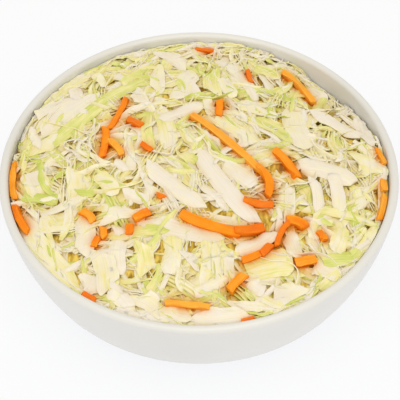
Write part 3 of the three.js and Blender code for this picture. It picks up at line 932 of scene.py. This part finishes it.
def place_random(name, batch, relief, least, shrink=1.0, fill=False, plan=random_plan):
    """One shred of a kind, or one bundle of strands, laid where the heap is lowest."""
    kind = KINDS[name]
    length = pick(kind["length"]) * shrink
    width = sum(kind["width"]) / 2 * shrink
    lines = [keep_in_dish(plan(kind, length), width) for _ in range(TRIES)]
    rooms = [relief.missing(line[:, 0], line[:, 1]) for line in lines]
    hidden = [relief.shown(line[:, 0], line[:, 1]) for line in lines]
    over = [0 if fill else relief.over_pits(*cover(line, width)) for line in lines]
    value = [room.mean() + LOWEST_WEIGHT * min(0, room.min()) - HIDE_WEIGHT * hide - PIT_WEIGHT * pit
             for room, hide, pit in zip(rooms, hidden, over)]
    best = int(np.argmax(value))
    if rooms[best].mean() < least or hidden[best] > HIDE_MOST or over[best] > PIT_COVER:
        return
    line = lines[best]
    left = left_of(line)
    whole = draw_shred(kind)
    middle = (kind["strands"] - 1) / 2
    for strand in range(kind["strands"]):
        shred = draw_shred(kind)
        shred["width"] *= shrink
        if kind["strands"] > 1:
            shred.update(tone=whole["tone"] + STRAND_TONE * rng.normal(), arch=whole["arch"],
                         roll=whole["roll"] + STRAND_ROLL * rng.normal())
        offset = (strand - middle) * STRAND_GAP
        fan = 1 + STRAND_FAN * rng.normal() * np.linspace(-0.5, 0.5, len(line))[:, None]
        lay(batch, shred, line + left * offset * fan, relief)


def core_piece(relief):
    """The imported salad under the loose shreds, seen only down the gaps."""
    angle = 2 * math.pi * np.arange(CORE_SIDES) / CORE_SIDES
    edge = heap_level(HEAP_RADIUS * np.cos(angle), HEAP_RADIUS * np.sin(angle)) - CORE_DEPTH
    top_lean = lean_at(edge)
    rows = []
    for share in np.linspace(0, 1, CORE_WALL_ROWS):
        radius, height = wall_point(WALL + DISH_GAP, LEAN_UNDER + (top_lean - LEAN_UNDER) * share)
        rows.append(np.stack([radius * np.cos(angle), radius * np.sin(angle), height], -1))
    for share in np.linspace(CORE_OUTER_SHARE, CORE_INNER_SHARE, CORE_TOP_ROWS):
        x, y = HEAP_RADIUS * share * np.cos(angle), HEAP_RADIUS * share * np.sin(angle)
        lump = wavy(x, y, LUMP_WAVE_X) * wavy(y, x, LUMP_WAVE_Y)
        rows.append(np.stack([x, y, heap_level(x, y) - CORE_DEPTH + CORE_LUMP * lump], -1))
    tips = [[0, 0, rows[0][0, 2]], [0, 0, heap_level(0, 0) - CORE_DEPTH]]
    points = np.concatenate([np.concatenate(rows), tips])
    mesh = mesh_of("slaw_core", points, *ring_faces(len(rows), CORE_SIDES))
    write_values(mesh, "juice", relief.juice_at(points))
    return link(mesh)


def wall_run(inset, start, end, steps):
    """Points along the wall from one lean to another."""
    return [wall_point(inset, lean) for lean in np.linspace(start, end, steps)]


def bowl_profile():
    """The bowl's outline, from the middle of its underside over the lip to its middle inside."""
    under = TURN_CENTRE[1] - TURN_ARC
    inner_foot = FOOT_RADIUS - FOOT_WIDTH / 2
    outer_foot = FOOT_RADIUS + FOOT_WIDTH / 2
    points = [
        (0, under), (inner_foot - FOOT_TAPER, under),
        (inner_foot - FOOT_EDGE_WIDTH, FOOT_EDGE_HEIGHT), (inner_foot + FOOT_EDGE_WIDTH, 0),
        (outer_foot - FOOT_EDGE_WIDTH, 0), (outer_foot + FOOT_EDGE_WIDTH, FOOT_EDGE_HEIGHT),
        (outer_foot + FOOT_TAPER, under),
    ]
    points += wall_run(0, LEAN_UNDER, LEAN_AT_TURN, TURN_STEPS)
    points += wall_run(0, LEAN_AT_TURN, LEAN_AT_RIM, SIDE_STEPS)[1:]
    lip_r, lip_z = wall_point(LIP_RADIUS, LEAN_AT_RIM)
    for turn in np.linspace(-LEAN_AT_RIM, math.pi - LEAN_AT_RIM, LIP_STEPS)[1:-1]:
        points.append((lip_r + LIP_RADIUS * math.cos(turn), lip_z + LIP_RADIUS * math.sin(turn)))
    points += wall_run(WALL, LEAN_AT_RIM, LEAN_AT_TURN, SIDE_STEPS)
    points += wall_run(WALL, LEAN_AT_TURN, LEAN_UNDER, INNER_TURN_STEPS)[1:]
    points.append((0, under + WALL))
    return np.array(points, float)


def bowl_piece():
    """The bowl, turned from its outline, which starts and ends on the axis."""
    profile = bowl_profile()
    angle = 2 * math.pi * np.arange(BOWL_SIDES) / BOWL_SIDES
    body = profile[1:-1]
    rings = np.stack([
        body[:, :1] * np.cos(angle), body[:, :1] * np.sin(angle),
        np.broadcast_to(body[:, 1:], (len(body), BOWL_SIDES)),
    ], -1)
    tips = [[0, 0, profile[0, 1]], [0, 0, profile[-1, 1]]]
    points = np.concatenate([rings.reshape(-1, 3), tips])
    return link(mesh_of("bowl_glazed", points, *ring_faces(len(body), BOWL_SIDES)))


def srgb(red, green, blue):
    """The linear colour of one given from 0 to 255."""
    channels = [value / 255 for value in (red, green, blue)]
    return tuple(c / 12.92 if c <= 0.04045 else ((c + 0.055) / 1.055) ** 2.4 for c in channels) + (1,)


class Nodes:
    """A material's node tree, with short calls for the nodes used here."""

    def __init__(self, name):
        self.material = bpy.data.materials.new(name)
        self.material.use_nodes = True
        self.tree = self.material.node_tree
        self.shader = self.tree.nodes["Principled BSDF"]

    def add(self, kind, **settings):
        node = self.tree.nodes.new(kind)
        for name, value in settings.items():
            setattr(node, name, value)
        return node

    def join(self, output, socket):
        self.tree.links.new(output, socket)

    def fill(self, node, **values):
        """The values of a node's inputs, named with low lines for spaces."""
        for name, value in values.items():
            node.inputs[name.replace("_", " ")].default_value = value

    def ramp(self, factor, stops):
        """A colour between stops."""
        node = self.add("ShaderNodeValToRGB")
        while len(node.color_ramp.elements) < len(stops):
            node.color_ramp.elements.new(0.5)
        for element, (place, colour) in zip(node.color_ramp.elements, stops):
            element.position = place
            element.color = srgb(*colour)
        self.join(factor, node.inputs["Fac"])
        return node.outputs["Color"]

    def noise(self, vector, scale, detail, roughness=0.5):
        node = self.add("ShaderNodeTexNoise")
        self.fill(node, Scale=scale, Detail=detail, Roughness=roughness)
        self.join(vector, node.inputs["Vector"])
        return node.outputs["Fac"]

    def math(self, operation, first, second, clamp=False):
        node = self.add("ShaderNodeMath", operation=operation, use_clamp=clamp)
        for socket, value in zip(node.inputs, (first, second)):
            if isinstance(value, (int, float)):
                socket.default_value = value
            else:
                self.join(value, socket)
        return node.outputs["Value"]

    def shifted(self, texture, strength):
        """A texture about zero, by a strength."""
        return self.math("MULTIPLY", self.math("SUBTRACT", texture, 0.5), strength)

    def tint(self, factor, first, colour):
        """A colour with another multiplied over it: inputs 0, 6 and 7 are factor, A and B."""
        node = self.add("ShaderNodeMix", data_type="RGBA", blend_type="MULTIPLY")
        self.join(factor, node.inputs[0])
        self.join(first, node.inputs[6])
        node.inputs[7].default_value = srgb(*colour)
        return node.outputs[2]

    def stretch(self, vector, scale):
        node = self.add("ShaderNodeMapping")
        self.fill(node, Scale=scale)
        self.join(vector, node.inputs["Vector"])
        return node.outputs["Vector"]

    def bump(self, texture, relief):
        """A texture raised on the surface."""
        strength, height = relief
        node = self.add("ShaderNodeBump")
        self.fill(node, Strength=strength, Distance=height * MM)
        self.join(texture, node.inputs["Height"])
        self.join(node.outputs["Normal"], self.shader.inputs["Normal"])

    def attribute(self, name, output="Fac"):
        return self.add("ShaderNodeAttribute", attribute_name=name).outputs[output]


def shred_material(name):
    """Moist plant tissue: a tone from end to end, lengthwise fibres, painted shade down the gaps, a juice
    stain where the look has one, and a soft glow.
    """
    look = LOOKS[name]
    nodes = Nodes(name)
    grain = nodes.attribute("grain", "Vector")
    shade = nodes.attribute("shade")
    fibres = nodes.noise(nodes.stretch(grain, FIBRES), 1.0, 3.0, 0.6)
    blotches = nodes.noise(nodes.stretch(grain, BLOTCHES), 1.0, 1.0)
    veins = nodes.noise(nodes.stretch(grain, VEINS), 1.0, 1.0)
    tone = nodes.math("ADD", nodes.attribute("tone"), nodes.shifted(fibres, FIBRE_TONE))
    tone = nodes.math("ADD", tone, nodes.shifted(blotches, look["blotch_tone"]), clamp=True)
    vein_shade = nodes.math("MULTIPLY", nodes.math("SUBTRACT", veins, VEIN_START), VEIN_SHADE, clamp=True)
    shaded = nodes.math("ADD", shade, nodes.math("MINIMUM", vein_shade, VEIN_MOST), clamp=True)
    # Painted shade: the tone's colour multiplied by the darker colour down the gaps and close under
    # neighbours, and a little along the veins, which are the leaf's own darker lines
    colour = nodes.tint(shaded, nodes.ramp(tone, look["stops"]), look["painted_shade"])
    if look["juice"]:
        # Juice stain beside the carrots, made stronger where the painted shade is: partly a stain, partly
        # painted warm shade
        strength = nodes.math("ADD", nodes.math("MULTIPLY", shade, JUICE_IN_PAINTED_SHADE), JUICE_LIGHT)
        stain = nodes.math("MULTIPLY", nodes.attribute("juice"), strength, clamp=True)
        colour = nodes.tint(stain, colour, look["juice"])
    nodes.join(colour, nodes.shader.inputs["Base Color"])
    nodes.fill(nodes.shader, Roughness=look["roughness"], Specular_IOR_Level=look["shine"],
               Subsurface_Weight=GLOW_SHARE, Subsurface_Radius=(1, 1, 1),
               Subsurface_Scale=GLOW_REACH * MM)
    nodes.bump(fibres, FIBRE_RELIEF)
    return nodes.material


def core_material():
    """Painted shade: yellow and brown patches, cabbage's colour as it looks in shadow, stained beside the
    carrots.
    """
    nodes = Nodes("packed_salad_painted_shade")
    place = nodes.add("ShaderNodeTexCoord").outputs["Object"]
    patches = nodes.noise(nodes.stretch(place, CORE_STRETCH), CORE_PATCHES, 2.0)
    colour = nodes.tint(nodes.attribute("juice"), nodes.ramp(patches, CORE_SHADE_STOPS), CORE_JUICE)
    nodes.join(colour, nodes.shader.inputs["Base Color"])
    nodes.fill(nodes.shader, Roughness=0.6)
    nodes.bump(patches, CORE_RELIEF)
    return nodes.material


def glaze_material():
    nodes = Nodes("white_glaze")
    place = nodes.add("ShaderNodeTexCoord").outputs["Object"]
    clouds = nodes.noise(place, GLAZE_CLOUDS, 2.0)
    nodes.join(nodes.ramp(clouds, GLAZE_STOPS), nodes.shader.inputs["Base Color"])
    nodes.fill(nodes.shader, Roughness=0.35, Coat_Weight=0.2, Coat_Roughness=0.2)
    nodes.bump(nodes.noise(place, GLAZE_WAVES, 2.0), GLAZE_RELIEF)
    return nodes.material


def dress(piece, node, material):
    """A piece given its material and hung under the root body, with the node it stands in for hidden."""
    piece.data.materials.append(material)
    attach(piece, "root")
    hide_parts(node)


def add_camera():
    camera = bpy.data.objects.new("camera", bpy.data.cameras.new("camera"))
    camera.data.lens = LENS
    camera.data.clip_start = 0.01
    aim = Vector(AIM) * MM
    back = Vector((0, -math.cos(CAMERA_ELEVATION), math.sin(CAMERA_ELEVATION)))
    camera.location = aim + back * CAMERA_DISTANCE * MM
    camera.rotation_euler = back.to_track_quat("Z", "Y").to_euler()
    bpy.context.scene.collection.objects.link(camera)
    bpy.context.scene.camera = camera


def add_key():
    """One wide soft light above the front, turned to the middle of the bowl's foot."""
    light = bpy.data.lights.new("key", "AREA")
    light.shape = "DISK"
    light.size = KEY_SIZE
    light.energy = KEY_POWER
    light.color = KEY_COLOUR
    lamp = bpy.data.objects.new("key", light)
    lamp.location = KEY_PLACE
    lamp.rotation_euler = Vector(KEY_PLACE).to_track_quat("Z", "Y").to_euler()
    bpy.context.scene.collection.objects.link(lamp)


def add_stage():
    """A white ground that glows a little, and an even pale surround."""
    corners = np.array([[-1, -1, 0], [1, -1, 0], [1, 1, 0], [-1, 1, 0]]) * FLOOR_REACH / MM
    floor = link(mesh_of("floor", corners, np.array([[0, 1, 2, 3]]), np.zeros((0, 3), int)))
    nodes = Nodes("white_ground")
    nodes.fill(nodes.shader, Base_Color=FLOOR_BASE, Roughness=1.0,
               Emission_Color=FLOOR_GLOW, Emission_Strength=FLOOR_GLOW_STRENGTH)
    floor.data.materials.append(nodes.material)
    world = bpy.data.worlds.new("surround")
    world.use_nodes = True
    nodes.fill(world.node_tree.nodes["Background"], Color=SURROUND, Strength=SURROUND_STRENGTH)
    bpy.context.scene.world = world
    bpy.context.scene.view_settings.view_transform = "Standard"


relief, batches = build_heap()
relief.even_out()
cabbage = shred_material("cabbage")
carrot = shred_material("carrot")
for name, batch in batches.items():
    piece = batch.build(relief)
    if name in CRISP_KINDS:
        piece.data.set_sharp_from_angle(angle=CRISP)
    if name == "carrots":
        dress(piece, "slaw", carrot)
    else:
        dress(piece, "slaw", cabbage)
dress(core_piece(relief), "slaw", core_material())
dress(bowl_piece(), "bowl", glaze_material())
add_camera()
add_stage()
add_key()
